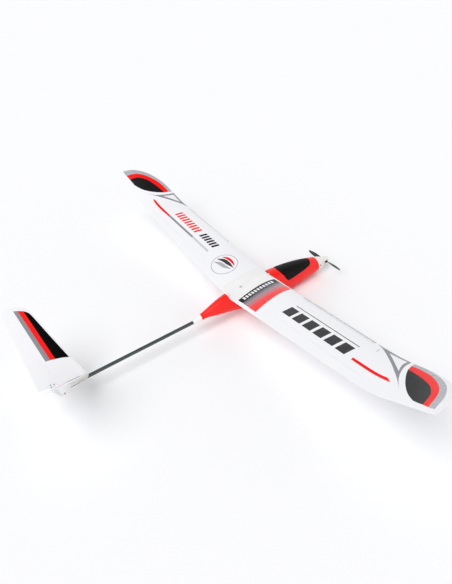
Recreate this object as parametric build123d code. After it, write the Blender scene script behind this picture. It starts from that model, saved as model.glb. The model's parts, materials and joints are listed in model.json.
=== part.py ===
from build123d import *
from math import atan2, cos, degrees, pi, radians, sin, sqrt, tan
import os

# Electric RC sailplane: foam pod with a carbon tail boom, two-piece wing with ailerons and a V-tail.
# Millimetres. X+ to the aircraft's left, Y+ to the tail, Z+ up.
# The origin lies on the flat belly, straight below the wing's leading edge at the centreline.

os.makedirs("parts", exist_ok=True)

# ---- driving dimensions -------------------------------------------------------------------------
GAP = 0.4  # air between pieces that move against each other

# wing: (distance from the centreline, leading edge, trailing edge)
WING_STATIONS = [
    (0, 0, 188.5),
    (260, 7, 180.3),
    (570, 10.5, 169.3),
    (640, 9.8, 167.5),
    (715, 9.5, 165),
    (775, 18.5, 160),
    (825, 36, 161),
    (852, 57, 164),
    (872, 82, 168),
    (889, 116, 172),
    (898, 152, 175),
]
WING_Z = 98.0  # leading edge at the centreline above the belly
DIHEDRAL = radians(5.86)
TIP_BEND_FROM = 615.0  # the wing curves upwards beyond this
TIP_BEND = 0.001155  # rise per square of the distance beyond it
INCIDENCE = radians(2.0)
CAMBER = 0.028
CAMBER_AT = 0.4
WING_T_ROOT = 0.10  # thickness over chord
WING_T_TIP = 0.088
EDGE = 1.1  # blunt trailing edge
CENTRE_HALF = 50.0  # half width of the moulded centre section
TIP_FROM = 570.0  # the planform curves beyond this

AILERON_IN = 242.0
AILERON_OUT = 639.0
AILERON_HINGE_IN = 142.4
AILERON_HINGE_OUT = 140.4
BEVEL = radians(30)  # V-groove under each living hinge

# pod: (station, half width, top, bottom, squareness of the section)
POD_STATIONS = [
    (-216, 28, 69, 12.5, 2.0),
    (-170, 33, 83, 7, 2.25),
    (-118, 37, 94, 3.0, 2.6),
    (-68, 39, 101, 0.6, 2.8),
    (-20, 39.5, 105, 0.6, 2.9),
    (60, 38, 107, 0.8, 2.8),
    (134, 33, 105.5, 17, 2.6),
    (200, 26, 100, 32, 2.4),
    (255, 18.5, 86.5, 43, 2.2),
    (305, 12.5, 73, 48, 2.0),
]
WALL = 5.0
SKID_FRONT, SKID_REAR, SKID_WIDTH, SKID_THICK = -98.0, 78.0, 34.0, 1.6
# side outline of the canopy hatch: rear top, front top, front lower corner, rear lower corner
HATCH_SIDE = [(-28, 118), (-200, 118), (-200, 72), (-58, 60)]
HATCH_ARC = (0.0, -148.0, 33.0, 38.0)  # its front in plan, an ellipse: centre, half width, half length

# nose and propeller
SHAFT_Z = 35.0
COWL_REAR, COWL_FRONT = -217.0, -255.0
COWL_R_FRONT = 17.6
DISC_Y = -264.6
PIN_X = 12.5  # fold pin of a blade
BLADE_TIP = 93.5
SPINNER_R, SPINNER_REAR, SPINNER_TIP = 15.3, -257.0, -286.0

# boom and V-tail
BOOM_Z = 55.6
BOOM_R, BOOM_BORE = 6.3, 5.3
BOOM_FRONT, BOOM_REAR = 245.0, 772.0
SOCKET_REAR = 338.0
TAIL_Z = 69.0  # where the two panels' middle planes meet
TAIL_ANGLE = radians(41.7)
# V-tail panel: (distance along the panel, leading edge, trailing edge)
TAIL_STATIONS = [
    (-10, 735, 899),
    (124, 775, 898),
    (250, 806.5, 897),
    (272, 813.5, 897),
    (288, 826, 896.5),
    (299, 844, 896),
    (304.5, 862, 895),
]
TAIL_TIP_FROM = 124.0
TAIL_T = 0.05
RUDDER_IN = 10.0
RUDDER_HINGE_IN = 837.0
RUDDER_HINGE_OUT = 860.9
RUDDER_OUT = 294.0
# corner cut off the inner end, so that the two surfaces clear each other: (along the panel, back)
RUDDER_CORNER = [(0, 862), (RUDDER_IN, 862), (RUDDER_IN + 6.5, 901), (0, 901)]

# linkages
ARM = 16.0  # servo arm, shaft to hole
WING_LINK_S = 345.0  # along the wing
WING_SERVO_Y = 60.0
AILERON_PIN_Y = 143.0
TAIL_LINK_S = 15.0  # along the tail panel
TAIL_PIN_Y, TAIL_PIN_N = 840.0, -26.0


def slope_at(table, column, k):
    """Slope of a curve through a table's points that never swings past them."""
    before = (table[k][column] - table[k - 1][column]) / (table[k][0] - table[k - 1][0]) if k else None
    if k == len(table) - 1:
        return before
    after = (table[k + 1][column] - table[k][column]) / (table[k + 1][0] - table[k][0])
    if before is None:
        return after
    return 0.0 if before * after <= 0 else 2 * before * after / (before + after)


def between(x, table, column, curved_from):
    """Value of a table's column at x: straight runs, then a smooth curve from curved_from outwards."""
    k = next((k for k in range(len(table) - 1) if x <= table[k + 1][0]), len(table) - 2)
    a, b = table[k], table[k + 1]
    width = b[0] - a[0]
    t = (x - a[0]) / width
    if a[0] < curved_from:
        return a[column] + (b[column] - a[column]) * t
    bend_a, bend_b = slope_at(table, column, k) * width, slope_at(table, column, k + 1) * width
    return (
        a[column] * (1 + 2 * t) * (1 - t) ** 2
        + bend_a * t * (1 - t) ** 2
        + b[column] * t * t * (3 - 2 * t)
        + bend_b * t * t * (t - 1)
    )


def wing_edges(x):
    return [between(x, WING_STATIONS, column, TIP_FROM) for column in (1, 2)]


def tail_edges(s):
    return [between(s, TAIL_STATIONS, column, TAIL_TIP_FROM) for column in (1, 2)]


def closing_in(start, end, count):
    """Stations from start to end whose spacing shrinks towards the end."""
    return [start + (end - start) * (1 - (1 - k / count) ** 1.7) for k in range(count + 1)]


def half_thickness(f, ratio):
    """Half the thickness of a section over its chord, at the fraction f of the chord."""
    curve = 0.2969 * sqrt(f) - 0.1260 * f - 0.3516 * f**2 + 0.2843 * f**3 - 0.1015 * f**4
    return 5 * ratio * curve


def camber(f):
    if f < CAMBER_AT:
        return CAMBER / CAMBER_AT**2 * (2 * CAMBER_AT * f - f * f)
    return CAMBER / (1 - CAMBER_AT) ** 2 * (1 - 2 * CAMBER_AT + 2 * CAMBER_AT * f - f * f)


def wing_rise(x):
    """Height of the leading edge over its height at the centreline."""
    return tan(DIHEDRAL) * x + TIP_BEND * max(0.0, x - TIP_BEND_FROM) ** 2


def wing_point(x, f, side):
    """A point on the wing's upper (side 1) or lower (side -1) surface."""
    le, te = wing_edges(x)
    chord = te - le
    ratio = WING_T_ROOT + (WING_T_TIP - WING_T_ROOT) * x / WING_STATIONS[-1][0]
    up = chord * (camber(f) + side * half_thickness(f, ratio)) + side * EDGE / 2 * f * min(1, chord / 100)
    return Vector(x, le + chord * f, WING_Z + wing_rise(x) - chord * f * tan(INCIDENCE) + up)


def wing_z(x, y, side):
    """Height of the wing's surface at a place in plan."""
    le, te = wing_edges(x)
    return wing_point(x, (y - le) / (te - le), side).Z


FRACTIONS = [(1 - cos(pi * k / 12)) / 2 for k in range(13)]


def section(point):
    """A closed aerofoil face from point(fraction, side)."""
    upper = [point(f, 1) for f in reversed(FRACTIONS)]
    lower = [point(f, -1) for f in FRACTIONS[1:]]
    skin = Edge.make_spline(upper + lower)
    return Face(Wire([skin, Edge.make_line(lower[-1], upper[0])]))


def wing_section(x):
    return section(lambda f, side: wing_point(x, f, side))


def tail_place(s, y, n):
    """From along, back and normal of the left tail panel to the aircraft's own axes."""
    across = s * cos(TAIL_ANGLE) - n * sin(TAIL_ANGLE)
    up = s * sin(TAIL_ANGLE) + n * cos(TAIL_ANGLE)
    return Vector(across, y, TAIL_Z + up)


def tail_half(s, f):
    le, te = tail_edges(s)
    chord = te - le
    return chord * half_thickness(f, TAIL_T) + 0.5 * f


def tail_section(s):
    le, te = tail_edges(s)
    return section(lambda f, side: tail_place(s, le + (te - le) * f, side * tail_half(s, f)))


WING_FRAME = Plane(origin=(0, 0, WING_Z), x_dir=(cos(DIHEDRAL), 0, sin(DIHEDRAL)),
                   z_dir=(-sin(DIHEDRAL), 0, cos(DIHEDRAL))).location
TAIL_FRAME = Plane(origin=(0, 0, TAIL_Z), x_dir=(cos(TAIL_ANGLE), 0, sin(TAIL_ANGLE)),
                   z_dir=(-sin(TAIL_ANGLE), 0, cos(TAIL_ANGLE))).location


def block(x0, x1, y0, y1, z0, z1):
    return Pos((x0 + x1) / 2, (y0 + y1) / 2, (z0 + z1) / 2) * Box(x1 - x0, y1 - y0, z1 - z0)


def rod(a, b, r, r_end=None):
    """A round bar, or a taper, from a to b."""
    a, b = Vector(*a), Vector(*b)
    along = Plane(origin=a, z_dir=(b - a).normalized())
    length = (b - a).length
    shape = Cylinder(r, length) if r_end is None else Cone(r, r_end, length)
    return along.location * Pos(0, 0, length / 2) * shape


def ring(a, b, r, bore):
    return rod(a, b, r) - rod(a, b, bore)


def mirrored(shape):
    return mirror(shape, about=Plane.YZ)


def save(name, shape):
    export_step(shape, f"parts/{name}.step")


def both(name, shape):
    save(name + "_left", shape)
    save(name + "_right", mirrored(shape))


def plate(plane, points, thickness):
    """A flat plate with a straight-edged outline, its thickness shared by both sides of the plane."""
    return extrude(plane * Polygon(*points, align=None), thickness / 2, both=True)


def hinge_cutters(origin, along, back, length, depth, reach):
    """Two prisms behind a hinge line: what the fixed panel loses, and what the moving surface keeps."""
    plane = Plane(origin=origin, x_dir=back, z_dir=along)
    foot = GAP / 2 + depth * tan(BEVEL)
    loses = Polygon((-GAP / 2, 30), (-GAP / 2, -depth), (reach, -depth), (reach, 30), align=None)
    keeps = Polygon((GAP / 2, 30), (GAP / 2, 0), (foot, -depth), (reach, -depth), (reach, 30), align=None)
    wide = plane.offset(-GAP)
    return (extrude(wide * loses, length + 2 * GAP), extrude(plane * keeps, length))


# ---- wing -----------------------------------------------------------------------------------------
def wing_panel():
    inner = loft([wing_section(x) for x in (CENTRE_HALF, 260, 570)], ruled=True)
    outer = loft([wing_section(x) for x in closing_in(TIP_FROM, WING_STATIONS[-1][0], 14)])
    return inner + outer


def wing_centre():
    """Moulded centre section: both halves of the shallow V, with the bolt hole and the peg's seat."""
    half = loft([wing_section(0), wing_section(CENTRE_HALF)], ruled=True)
    bolt_hole = Pos(0, BOLT_Y, WING_Z) * Cylinder(BOLT_R, 60)
    head_seat = Pos(0, BOLT_Y, bolt_head_z() + 10) * Cylinder(BOLT_HEAD_R + 0.2, 20)
    return half + mirrored(half) - bolt_hole - head_seat


def bolt_head_z():
    return wing_z(0, BOLT_Y, 1) - 0.9


def aileron_hinge():
    """Inner end, direction along, and direction back of the left aileron's hinge."""
    a = Vector(AILERON_IN, AILERON_HINGE_IN, wing_z(AILERON_IN, AILERON_HINGE_IN, 1) - 0.3)
    b = Vector(AILERON_OUT, AILERON_HINGE_OUT, wing_z(AILERON_OUT, AILERON_HINGE_OUT, 1) - 0.3)
    along = (b - a).normalized()
    back = (Vector(0, 1, 0) - along * along.Y).normalized()
    return a, along, back, (b - a).length


def local_n(x, y, side):
    """Height of a wing surface over the wing's own tilted base plane."""
    return (wing_z(x, y, side) - WING_Z - x * tan(DIHEDRAL)) * cos(DIHEDRAL)


BOLT_Y, BOLT_R, BOLT_HEAD_R = 125.0, 2.6, 5.2
SPAR_Y, SPAR_R = 62.0, 4.0
SPAR_IN, SPAR_OUT = 8.0, 300.0
SERVO_L, SERVO_W, SERVO_H = 22.8, 12.2, 22.5
EAR_L, EAR_T, EAR_AT = 32.4, 2.0, 15.5
SHAFT_IN = 6.1  # servo shaft from the body's end
ARM_ROOM, ARM_SWEEP = 2.5, 9.0  # half width and half length of the slot that a wing servo's arm needs


def servo():
    """Small servo: shaft at the origin pointing up, long side along Y, top of the case at z = 0."""
    case = block(-SERVO_W / 2, SERVO_W / 2, -SHAFT_IN, SERVO_L - SHAFT_IN, -SERVO_H, 0)
    middle = SERVO_L / 2 - SHAFT_IN
    ears = block(-SERVO_W / 2, SERVO_W / 2, middle - EAR_L / 2, middle + EAR_L / 2,
                 EAR_AT - SERVO_H, EAR_AT + EAR_T - SERVO_H)
    for end in (-1, 1):
        ears -= Pos(0, middle + end * (EAR_L / 2 - 2.3), 0) * Cylinder(1.0, 60)
    tower = Pos(0, 0, 1.4) * Cylinder(5.8, 2.8) + Pos(0, 6.2, 1.4) * Cylinder(2.9, 2.8)
    return case + ears + tower - Pos(0, 0, 1.4) * Cylinder(2.06, 4.4)


def servo_arm(length):
    """Arm for servo(): stub in the servo's bore, hub, tapered arm along +X with three holes."""
    hub = Pos(0, 0, 4.5) * Cylinder(3.4, 2.6)
    stub = Pos(0, 0, 1.9) * Cylinder(2.0, 2.8)
    bar = loft([
        Plane.YZ * Pos(0, 4.8) * Rectangle(5.2, 1.6),
        Plane.YZ.offset(length + 2.2) * Pos(0, 4.8) * Rectangle(3.4, 1.6),
    ], ruled=True)
    arm = hub + stub + bar - Pos(0, 0, 5.5) * Cylinder(1.0, 2.0)
    for back_off in (0, 2.8, 5.6):
        arm -= Pos(length - back_off, 0, 4.8) * Cylinder(0.75, 6)
    return arm


WING_SERVO_TOP = WING_LINK_S - 4.8  # the servo case's top face, along the wing
SERVO_N = local_n(330, WING_SERVO_Y, -1) + 1.6 + SERVO_W / 2
# the servo lies on its side: its shaft points outboard along the wing
WING_SERVO_AT = WING_FRAME * Pos(WING_SERVO_TOP, WING_SERVO_Y, SERVO_N) * Rot(0, 90, 0)
AILERON_PIN_N = SERVO_N - ARM


def servo_bay():
    """Pocket in the wing's underside for the aileron servo and its arm."""
    s0, s1 = WING_SERVO_TOP - SERVO_H - 0.5, WING_LINK_S + 4.0
    middle = WING_SERVO_Y + SERVO_L / 2 - SHAFT_IN
    return WING_FRAME * block(s0, s1, middle - EAR_L / 2 - 0.4, middle + EAR_L / 2 + 0.4,
                              SERVO_N - 40, SERVO_N + SERVO_W / 2 + 0.2)


def cover_region():
    """The skin's patch that the servo cover takes over, following the wing's underside."""
    s0, s1 = WING_SERVO_TOP - SERVO_H - 3.5, WING_LINK_S + 7.0
    middle = WING_SERVO_Y + SERVO_L / 2 - SHAFT_IN
    return WING_FRAME * block(s0, s1, middle - EAR_L / 2 - 3.5, middle + EAR_L / 2 + 3.5,
                              SERVO_N - 40, SERVO_N - SERVO_W / 2 - 0.05)


def arm_slot():
    """Slot in the servo cover that the arm swings through."""
    s, y = WING_LINK_S + 0.1, WING_SERVO_Y
    return WING_FRAME * block(s - ARM_ROOM, s + ARM_ROOM, y - ARM_SWEEP, y + ARM_SWEEP, -60, 20)


def clevis(tip, back, side, stem, r=1.9):
    """Fork at tip, opening along back, its two cheeks either side of a horn; stem is the tail's length."""
    frame = Plane(origin=tip, x_dir=side, z_dir=back)
    fork = Pos(0, 0, -2.5) * Box(4.4, 3.8, 11)
    fork -= Pos(0, 0, 2.4) * Box(HORN_T + 2 * GAP + 0.1, 6, 14)
    fork -= Rot(0, 90, 0) * Cylinder(0.8, 10)
    neck = Pos(0, 0, -8 - stem / 2) * Cylinder(r, stem)
    return frame.location * (fork + neck)


HORN_T = 1.6


def aileron_horn():
    """Plate under the aileron, blade down to the pin, in the wing's own tilted frame."""
    foot_n = local_n(WING_LINK_S, 152, -1) - 0.1
    s = WING_LINK_S
    foot = block(s - 6, s + 6, 147.6, 160.6, foot_n - 1.2, foot_n + 0.6)
    y, n = AILERON_PIN_Y, AILERON_PIN_N
    outline = [
        (148, foot_n - 0.8),
        (157.5, foot_n - 0.8),
        (y + 2.2, n - 2.2),
        (y - 1.8, n - 2.2),
        (y - 1.8, n + 2),
    ]
    horn = foot + plate(Plane.YZ.offset(s), outline, HORN_T)
    for step in (0, 3.0):
        horn -= Pos(s, AILERON_PIN_Y + 0.25 * step, AILERON_PIN_N + step) * Rot(0, 90, 0) * Cylinder(0.75, 10)
    return WING_FRAME * horn


def build_wing():
    panel = wing_panel()
    origin, along, back, length = aileron_hinge()
    loses, keeps = hinge_cutters(origin, along, back, length, 22, 70)
    horn = aileron_horn()
    aileron = (panel & keeps) - horn
    spar_n = (local_n(150, SPAR_Y, 1) + local_n(150, SPAR_Y, -1)) / 2
    spar_bar = WING_FRAME * rod((SPAR_IN, SPAR_Y, spar_n), (SPAR_OUT, SPAR_Y, spar_n), SPAR_R)
    spar_core = WING_FRAME * rod((SPAR_IN, SPAR_Y, spar_n), (SPAR_OUT, SPAR_Y, spar_n), SPAR_R - 1)
    cover = (panel & cover_region()) - arm_slot()
    fixed = panel - loses - spar_bar - servo_bay() - cover_region()
    both("wing", fixed)
    both("aileron", aileron)
    both("aileron_horn", horn)
    spar = spar_bar - spar_core
    save("wing_spars", Compound(children=[spar, mirrored(spar)]))
    save("servo_covers", Compound(children=[cover, mirrored(cover)]))
    save("wing_centre", wing_centre() - spar_bar - mirrored(spar_bar) - peg())
    both("aileron_servo", WING_SERVO_AT * servo())
    both("aileron_servo_arm", WING_SERVO_AT * servo_arm(ARM))
    s, n = WING_LINK_S + 0.2, AILERON_PIN_N
    wire = rod((s + 2.4, WING_SERVO_Y - 1, n), (s + 2.4, AILERON_PIN_Y - 24, n), 0.8)
    wire += rod((s + 2.4, AILERON_PIN_Y - 24, n), (s, AILERON_PIN_Y - 16, n), 0.8)
    wire += Pos(s + 2.4, AILERON_PIN_Y - 24, n) * Sphere(0.8)
    fork = clevis((WING_LINK_S, AILERON_PIN_Y, n), (0, 1, 0), (1, 0, 0), 8)
    both("aileron_rod", WING_FRAME * (wire - fork))
    both("aileron_clevis", WING_FRAME * fork)


def peg():
    """Round locating peg in the middle of the wing's leading edge."""
    z = (wing_z(0, 12, 1) + wing_z(0, 12, -1)) / 2
    return rod((0, -7, z), (0, 16, z), 3.5)


# ---- pod -----------------------------------------------------------------------------------------
def pod_ring(y, half_width, top, bottom, square, inset=0.0):
    """Closed section of the pod: a circle that grows squarer."""
    a, b, middle = half_width - inset, (top - bottom) / 2 - inset, (top + bottom) / 2
    points = []
    for k in range(20):
        c, s = cos(2 * pi * (k + 0.5) / 20), sin(2 * pi * (k + 0.5) / 20)
        x = a * abs(c) ** (2 / square) * (1 if c > 0 else -1)
        z = b * abs(s) ** (2 / square) * (1 if s > 0 else -1)
        points.append(Vector(x, y, middle + z))
    return Face(Wire([Edge.make_spline(points, periodic=True)]))


def pod_body(inset=0.0):
    rows = POD_STATIONS if inset == 0 else [s for s in POD_STATIONS if -200 < s[0] < 300]
    rings = [pod_ring(*s, inset=inset) for s in rows]
    if inset:
        y0 = POD_STATIONS[0]
        rings.insert(0, pod_ring(-212, y0[1], y0[2], y0[3], y0[4], inset=inset))
    return loft(rings)


def wing_seat():
    """Everything that the pod gives up to the wing's centre section, from its underside upwards."""
    seat = None
    clearance = Vector(0, 0, -0.05)
    for side in (1, -1):
        under = [wing_point(0, f, -1) + clearance for f in FRACTIONS]
        nose = wing_point(0, 0, 1) + Vector(0, -1.2, 0)
        outline = Wire([
            Edge.make_spline(under),
            Edge.make_line(under[-1], Vector(0, under[-1].Y, 150)),
            Edge.make_line(Vector(0, under[-1].Y, 150), Vector(0, nose.Y, 150)),
            Edge.make_line(Vector(0, nose.Y, 150), nose),
            Edge.make_line(nose, under[0]),
        ])
        outwards = (side * cos(DIHEDRAL), 0, sin(DIHEDRAL))
        piece = extrude(Face(outline), amount=60 / cos(DIHEDRAL), dir=outwards)
        seat = piece if seat is None else seat + piece
    return seat


def hatch_prism(grow):
    """The hatch's side outline drawn across the pod, with rounded lower corners and a rounded front."""
    outline = Polygon(*HATCH_SIDE, align=None)
    low = outline.vertices().sort_by(Axis.Y)[:2]
    outline = fillet(low, 12)
    x, y, wide, long = HATCH_ARC
    front = Ellipse(wide + grow, long + grow)
    behind = Pos(0, 100) * Rectangle(120, 200)
    plan = Pos(x, y) * (front + behind)
    if grow:
        outline = offset(outline, grow)
    return extrude(Plane.YZ.offset(-60) * outline, 120) & extrude(plan, 150)


def build_pod():
    outer, inner = pod_body(), pod_body(WALL)
    boom_hole = rod((0, 200, BOOM_Z), (0, 320, BOOM_Z), BOOM_R)
    skid_bed = block(-SKID_WIDTH / 2, SKID_WIDTH / 2, SKID_FRONT, SKID_REAR, -5, SKID_THICK)
    peg_hole = peg()
    shell = outer - inner - hatch_prism(GAP) - wing_seat() - boom_hole - skid_bed - peg_hole
    shell -= block(-60, 60, -300, -216 + 0.01, 0, 120)
    left = shell & block(0, 60, -230, 320, -10, 160)
    save("pod_shell_left", left)
    save("pod_shell_right", mirrored(left))
    hatch = (outer & hatch_prism(0)) - inner
    save("canopy_hatch", hatch)
    skid = block(-SKID_WIDTH / 2, SKID_WIDTH / 2, SKID_FRONT, SKID_REAR, 0, SKID_THICK)
    skid = fillet(skid.edges().filter_by(Axis.Z), 8)
    save("belly_skid", skid)


# ---- nose, motor and propeller ------------------------------------------------------------------------
def nose_circle(y, r, z):
    return Plane(origin=(0, y, z), x_dir=(1, 0, 0), z_dir=(0, -1, 0)) * Circle(r)


def build_cowl():
    rear = POD_STATIONS[0]
    rear_z, rear_r = (rear[2] + rear[3]) / 2, rear[1]
    middle_y, middle_r, middle_z = -238.0, 24.2, 37.5
    outer = loft([
        nose_circle(COWL_REAR, rear_r, rear_z),
        nose_circle(middle_y, middle_r, middle_z),
        nose_circle(COWL_FRONT, COWL_R_FRONT, SHAFT_Z),
    ])
    inner = loft([
        nose_circle(COWL_REAR + 1, rear_r - 1.5, rear_z),
        nose_circle(middle_y, middle_r - 1.6, middle_z),
        nose_circle(COWL_FRONT + 1.4, COWL_R_FRONT - 1.8, SHAFT_Z),
    ])
    cowl = outer - inner - rod((0, -260, SHAFT_Z), (0, -250, SHAFT_Z), 8.5)
    for side in (-1, 1):  # cooling inlets
        cowl -= rod((side * 12.6, -260, SHAFT_Z), (side * 12.6, -250, SHAFT_Z), 2.4)
    # cooling and screw hole in the aircraft's right cheek
    cowl -= rod((-40, -224, 43), (-15, -224, 43), 2.2)
    save("nose_cowl", cowl)
    bulkhead = rod((0, -222, rear_z), (0, -219, rear_z), rear_r - 3.2)
    bulkhead -= Pos(0, -220, rear_z + 14) * Rot(90, 0, 0) * Cylinder(5, 10)
    for side in (-1, 1):
        bulkhead -= rod((side * 8, -224, SHAFT_Z), (side * 8, -216, SHAFT_Z), 1.3)
    save("motor_bulkhead", bulkhead)


MOTOR_REAR, MOTOR_FRONT, BELL_R, SHAFT_R = -222.0, -249.5, 13.8, 1.6


def on_shaft(y0, y1, r):
    """A round bar on the propeller shaft's line."""
    return rod((0, y0, SHAFT_Z), (0, y1, SHAFT_Z), r)


def round_shaft(shape, degrees_on):
    """The shape turned about the propeller shaft's line, from a place straight above it."""
    return Pos(0, 0, SHAFT_Z) * Rot(0, degrees_on, 0) * shape


def build_motor():
    stator = on_shaft(MOTOR_REAR, MOTOR_REAR - 2.5, 12.8) + on_shaft(MOTOR_REAR - 2.5, MOTOR_FRONT + 4, 4.5)
    core = on_shaft(MOTOR_REAR - 5.5, MOTOR_FRONT + 5, 11.6)
    for k in range(12):  # winding slots
        core -= round_shaft(block(-0.9, 0.9, -260, -220, 7.0, 11.8), 30 * k)
    stator = stator + core - on_shaft(MOTOR_REAR + 1, MOTOR_FRONT - 1, SHAFT_R + 0.05)
    for x in (-8, 8):  # fixing holes
        stator -= rod((x, MOTOR_REAR + 1, SHAFT_Z), (x, MOTOR_REAR - 2.4, SHAFT_Z), 1.3)
    save("motor_stator", stator)
    bell = on_shaft(MOTOR_REAR - 4, MOTOR_FRONT, BELL_R)
    bell -= on_shaft(MOTOR_REAR - 3, MOTOR_FRONT + 2.5, BELL_R - 1.5)
    for k in range(6):  # cooling windows in the bell's front
        bell -= round_shaft(block(-2.2, 2.2, -260, -246, 6.7, 10.5), 60 * k)
    shaft = on_shaft(MOTOR_REAR - 1, DISC_Y - 6, SHAFT_R)
    collar = on_shaft(MOTOR_FRONT + 0.5, SPINNER_REAR + 0.6, 3.6)
    save("motor_bell", bell + shaft + collar)


def spinner_profile(r, rear, tip):
    """Half outline of a spinner in the radius-length plane: flat back, elliptic nose."""
    points = [(r * cos(a), rear - (rear - tip) * sin(a)) for a in (0, 0.35, 0.7, 1.05, 1.35)] + [(0, tip)]
    return Face(Wire([
        Edge.make_spline([Vector(x, y, 0) for x, y in points], tangents=[Vector(0, -1, 0), Vector(-1, 0, 0)]),
        Edge.make_line(Vector(0, tip, 0), Vector(0, rear, 0)),
        Edge.make_line(Vector(0, rear, 0), Vector(r, rear, 0)),
    ]))


def build_spinner():
    outer = revolve(spinner_profile(SPINNER_R, SPINNER_REAR, SPINNER_TIP), Axis.Y)
    inner = revolve(spinner_profile(SPINNER_R - 1.4, SPINNER_REAR - 1.4, SPINNER_TIP + 3.5), Axis.Y)
    shell = Pos(0, 0, SHAFT_Z) * (outer - inner)
    slot = block(6.8, 20, -271, SPINNER_REAR + 1, SHAFT_Z - 5.4, SHAFT_Z + 5.4)
    shell = shell - slot - mirrored(slot)  # the blades swing through the slots
    shell -= rod((0, SPINNER_REAR + 1, SHAFT_Z), (0, SPINNER_REAR - 3, SHAFT_Z), 3.6)
    save("spinner", shell)
    hub = rod((0, DISC_Y + 4.6, SHAFT_Z), (0, DISC_Y - 4.6, SHAFT_Z), 6.4)
    for z in (SHAFT_Z - 2.9, SHAFT_Z + 2.9):  # cheeks over and under the blades' roots
        hub += block(-PIN_X, PIN_X, DISC_Y - 3.2, DISC_Y + 3.2, z - 0.8, z + 0.8)
        for side in (-1, 1):
            hub += Pos(side * PIN_X, DISC_Y, z) * Cylinder(3.2, 1.6)
    for side in (-1, 1):
        hub -= Pos(side * PIN_X, DISC_Y, SHAFT_Z) * Cylinder(3.9, 4.2)
        hub += Pos(side * PIN_X, DISC_Y, SHAFT_Z) * Cylinder(1.2, 7.0)
    hub -= rod((0, DISC_Y + 6, SHAFT_Z), (0, DISC_Y - 6, SHAFT_Z), SHAFT_R)
    save("propeller_yoke", hub)


# blade: (radius, chord, angle of the chord to the disc in degrees, thickness over chord)
BLADE_STATIONS = [
    (19, 8.6, 34, 0.34),
    (28, 12.0, 27, 0.20),
    (42, 15.8, 19, 0.13),
    (58, 16.6, 14, 0.10),
    (74, 14.6, 11, 0.09),
    (86, 10.6, 9.5, 0.09),
    (91.5, 6.2, 9, 0.10),
    (BLADE_TIP, 2.6, 9, 0.14),
]


def blade_section(radius, chord, angle, ratio):
    """Blade section across the radius; the leading edge is the end that meets the air."""
    turn = radians(angle)

    def point(f, side):
        along = chord * (0.4 - f)
        up = chord * (0.05 * 4 * f * (1 - f) + side * half_thickness(f, ratio)) + side * 0.25 * f
        z = along * cos(turn) + up * sin(turn)
        y = -along * sin(turn) - up * cos(turn)
        return Vector(radius, DISC_Y + y, SHAFT_Z + z)

    return section(point)


def build_blades():
    vane = loft([blade_section(*s) for s in BLADE_STATIONS])
    boss = Pos(PIN_X, DISC_Y, SHAFT_Z) * Cylinder(3.4, 3.4)
    neck_root = Plane.YZ.offset(PIN_X + 1.5) * Pos(DISC_Y, SHAFT_Z) * Rectangle(4.6, 3.2)
    neck_end = Plane.YZ.offset(19.5) * Pos(DISC_Y, SHAFT_Z) * Rectangle(3.0, 5.0)
    neck = loft([neck_root, neck_end], ruled=True)
    blade = vane + boss + neck - Pos(PIN_X, DISC_Y, SHAFT_Z) * Cylinder(1.25, 8)
    save("blade_left", blade)
    save("blade_right", Pos(0, 0, SHAFT_Z) * Rot(0, 180, 0) * Pos(0, 0, -SHAFT_Z) * blade)


# ---- inside the pod -------------------------------------------------------------------------------
TRAY_Z = 18.0
BATTERY = (30.0, 100.0, 24.0)  # across, along, high
BATTERY_FRONT = -170.0
SHELF_Z = 40.0  # top of the servo shelf
TAIL_SERVO_AT = (8.0, 66.0)  # shaft of the left tail servo, in plan


def build_inside():
    floor = block(-17, 17, -172, -8, TRAY_Z, TRAY_Z + 2.4)
    for y in (-150, -105):  # strap slots beside the battery
        for side in (-1, 1):
            floor -= block(side * 15.9 - 0.8, side * 15.9 + 0.8, y - 8.4, y + 8.4, 0, 40)
    save("equipment_tray", floor)
    low = TRAY_Z + 2.4
    wide, length, high = BATTERY
    pack = block(-wide / 2, wide / 2, BATTERY_FRONT, BATTERY_FRONT + length, low, low + high)
    save("battery", fillet(pack.edges(), 2.0))
    strap = block(-16.6, 16.6, -157.5, -142.5, TRAY_Z - 1.2, low + high + 1.2)
    strap -= block(-15.3, 15.3, -158, -142, TRAY_Z, low + high)
    strap -= floor
    save("battery_strap", strap)
    esc = block(-12, 12, -68, -24, low, low + 8)
    save("speed_controller", fillet(esc.edges(), 1.5))
    receiver = block(-10.5, 10.5, -7.8, 28.2, 10.5, 23.5)
    save("receiver", fillet(receiver.edges().filter_by(Axis.Z), 1.5))
    x, y = TAIL_SERVO_AT
    shelf = block(-27, 27, 48, 116, SHELF_Z - 3, SHELF_Z)
    hole = block(x - SERVO_W / 2, x + SERVO_W / 2, y - SHAFT_IN, y + SERVO_L - SHAFT_IN, 0, 80)
    save("servo_shelf", shelf - hole - mirrored(hole))
    place = Pos(x, y, SHELF_Z - (EAR_AT - SERVO_H))  # the servo's ears sit on the shelf
    both("tail_servo", place * servo())
    both("tail_servo_arm", place * servo_arm(ARM))
    # plywood plate under the wing that takes the wing bolt
    top = wing_z(0, BOLT_Y, -1) - 3.0
    bolt_plate = block(-22, 22, BOLT_Y - 12, BOLT_Y + 12, top - 3, top)
    bolt_plate -= Pos(0, BOLT_Y, top) * Cylinder(BOLT_R, 20)
    save("bolt_plate", bolt_plate)
    head_z = bolt_head_z()
    bolt = Pos(0, BOLT_Y, head_z + 1.2) * Cylinder(BOLT_HEAD_R, 2.4)
    bolt += Pos(0, BOLT_Y, (head_z + top - 8) / 2) * Cylinder(BOLT_R, head_z - top + 8)
    bolt -= Pos(0, BOLT_Y, head_z + 2) * Box(8.2, 1.2, 1.6)
    save("wing_bolt", bolt)
    save("wing_peg", peg())


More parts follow.
